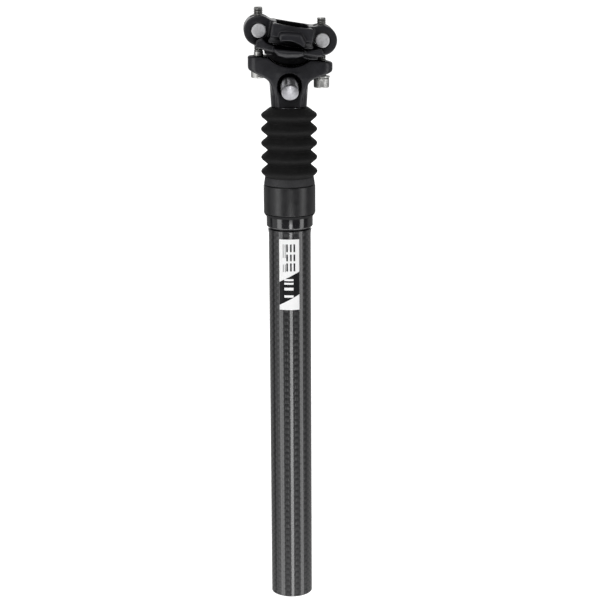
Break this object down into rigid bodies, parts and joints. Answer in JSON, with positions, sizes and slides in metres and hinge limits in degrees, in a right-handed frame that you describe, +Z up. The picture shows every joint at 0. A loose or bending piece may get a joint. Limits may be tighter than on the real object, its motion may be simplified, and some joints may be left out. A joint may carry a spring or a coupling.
{
  "type": "suspension seatpost",
  "caption": "Telescopic suspension seatpost: carbon tube, rubber bellows boot, forged yoke head and a two-screw rocking clamp for saddle rails.",
  "frame": {"origin": "centre of the post tube's open lower end", "axes": "+Z up along the post, +X to the front of the bicycle, -Y to the side the lock screw faces"},
  "size_m": [0.0577, 0.052, 0.3888],
  "materials": {
    "carbon": "woven carbon fibre under gloss clear coat",
    "gloss_black": "gloss black anodised",
    "satin_black": "satin black anodised",
    "forged_black": "forged and satin black anodised",
    "boot_rubber": "matte moulded rubber",
    "zinc_steel": "bright zinc-plated steel",
    "shaft_alloy": "ground and clear anodised",
    "spring_steel": "oiled spring steel",
    "acetal": "natural acetal",
    "brass": "machined brass",
    "elastomer": "cast urethane"
  },
  "bodies": {
    "post": {"post_tube": "carbon", "post_ferrule": "gloss_black", "top_collar": "satin_black", "boot": "boot_rubber", "upper_bushing": "acetal", "wiper_seal": "boot_rubber", "base_insert": "shaft_alloy", "main_spring": "spring_steel", "guide_key_1": "brass", "guide_key_2": "brass", "guide_key_3": "brass"},
    "slider": {"inner_shaft": "shaft_alloy", "shaft_circlip": "spring_steel", "lower_guide_ring": "acetal", "top_out_ring": "boot_rubber", "upper_spring_seat": "acetal", "head_yoke": "forged_black", "head_lock_screw": "zinc_steel", "rear_washer": "zinc_steel", "front_washer": "zinc_steel"},
    "clamp": {"upper_clamp": "forged_black", "lower_clamp": "forged_black"},
    "rear_nut": {"rear_barrel_nut": "zinc_steel"},
    "front_nut": {"front_barrel_nut": "zinc_steel"},
    "rear_bolt": {"rear_clamp_bolt": "zinc_steel"},
    "front_bolt": {"front_clamp_bolt": "zinc_steel"},
    "preload": {"lower_spring_seat": "acetal", "elastomer_bumper": "elastomer", "thrust_washer": "zinc_steel"},
    "plug": {"preload_plug": "shaft_alloy"}
  },
  "joints": [
    {"name": "suspension_travel", "type": "slide", "parent": "post", "child": "slider", "axis": [0, 0, 1], "range_m": [-0.03, 0], "stiffness_N_per_m": 16000, "springref_m": 0.01, "deforming": ["boot", "main_spring"]},
    {"name": "saddle_tilt", "type": "hinge", "parent": "slider", "child": "clamp", "pos_m": [0.00085, 0, 0.3716], "axis": [0, 1, 0], "range_deg": [-10, 7]},
    {"name": "rear_nut_turn", "type": "hinge", "parent": "clamp", "child": "rear_nut", "pos_m": [-0.01879, 0, 0.3748], "axis": [0, 1, 0], "range_deg": [-8, 11]},
    {"name": "front_nut_turn", "type": "hinge", "parent": "clamp", "child": "front_nut", "pos_m": [0.02049, 0, 0.3684], "axis": [0, 1, 0], "range_deg": [-8, 11]},
    {"name": "rear_bolt_turn", "type": "hinge", "parent": "slider", "child": "rear_bolt", "pos_m": [-0.01879, 0, 0.3478], "axis": [0, 0, 1], "range_deg": [-880, 1250]},
    {"name": "front_bolt_turn", "type": "hinge", "parent": "slider", "child": "front_bolt", "pos_m": [0.02049, 0, 0.3413], "axis": [0, 0, 1], "range_deg": [-1250, 880]},
    {"name": "preload_travel", "type": "slide", "parent": "post", "child": "preload", "axis": [0, 0, 1], "range_m": [0, 0.008]},
    {"name": "preload_turn", "type": "hinge", "parent": "preload", "child": "plug", "pos_m": [0, 0, 0.022], "axis": [0, 0, 1], "range_deg": [0, 1930]}
  ],
  "couplings": [
    {"joint": "rear_nut_turn", "follows": "saddle_tilt", "ratio": -1},
    {"joint": "front_nut_turn", "follows": "saddle_tilt", "ratio": -1},
    {"joint": "rear_bolt_turn", "follows": "saddle_tilt", "ratio": -123.4},
    {"joint": "front_bolt_turn", "follows": "saddle_tilt", "ratio": 123.4},
    {"joint": "preload_turn", "follows": "preload_travel", "rad_per_m": 4188.8}
  ]
}
